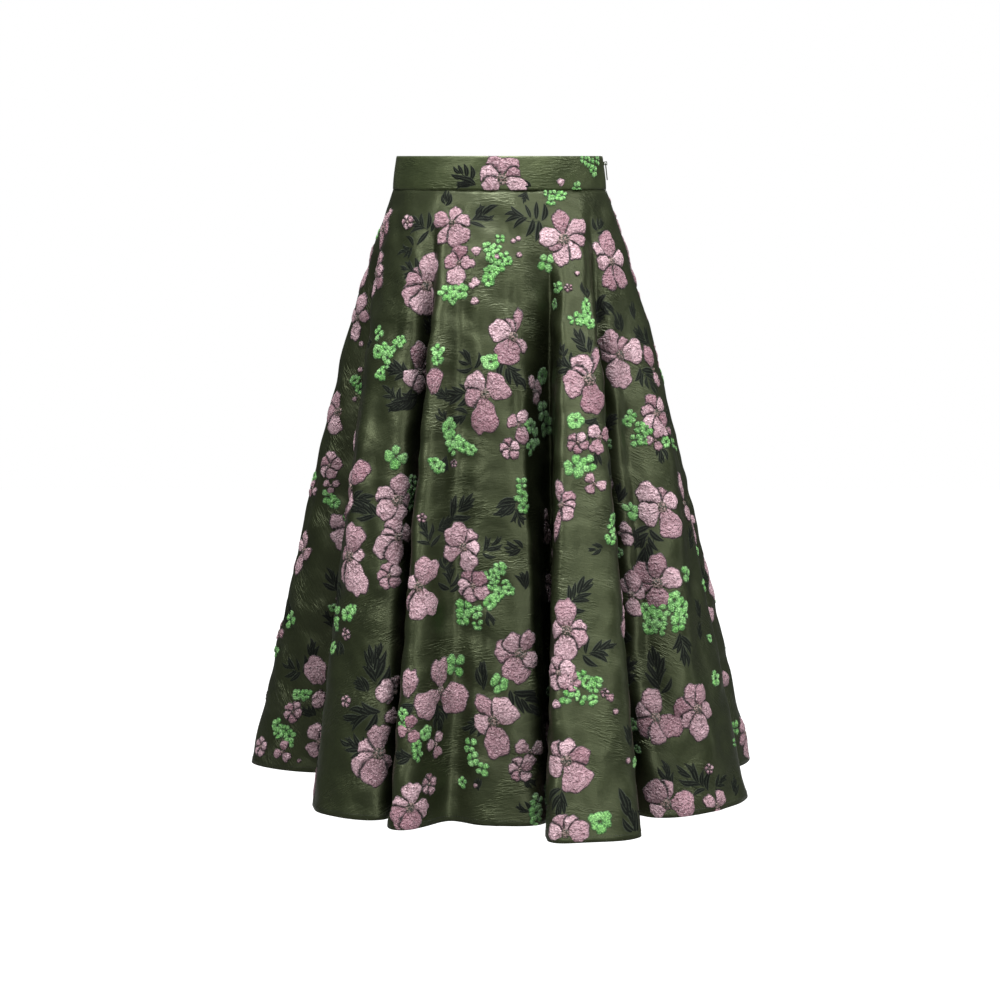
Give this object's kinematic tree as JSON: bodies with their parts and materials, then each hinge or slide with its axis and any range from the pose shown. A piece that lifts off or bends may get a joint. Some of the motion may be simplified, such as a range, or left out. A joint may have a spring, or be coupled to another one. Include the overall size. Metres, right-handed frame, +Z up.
{
  "type": "circle skirt",
  "caption": "Circle skirt filled out as it is worn, with deep soft folds, a plain waistband, a narrow hem and a zip at the side seam.",
  "frame": {"origin": "middle of the waist, at half the height of the waistband", "axes": "+Z up from the hem towards the waist, -Y the front of the skirt, +X the wearer's left side, where the zip is"},
  "size_m": [0.6539, 0.7032, 0.783],
  "materials": {
    "jacquard": "satin jacquard",
    "zip_tape": "woven tape",
    "zip_metal": "enamel"
  },
  "bodies": {
    "skirt": {"skirt_front": "jacquard", "skirt_back": "jacquard", "waistband_front": "jacquard", "waistband_back": "jacquard", "zip_tape": "zip_tape", "zip_slider": "zip_metal"},
    "zip_pull": {"zip_pull": "zip_metal"}
  },
  "joints": [
    {"name": "pull_swing", "type": "hinge", "parent": "skirt", "child": "zip_pull", "pos_m": [0.13262, -0.00022, 0.01139], "axis": [0, -1, 0], "range_deg": [0, 150]}
  ]
}
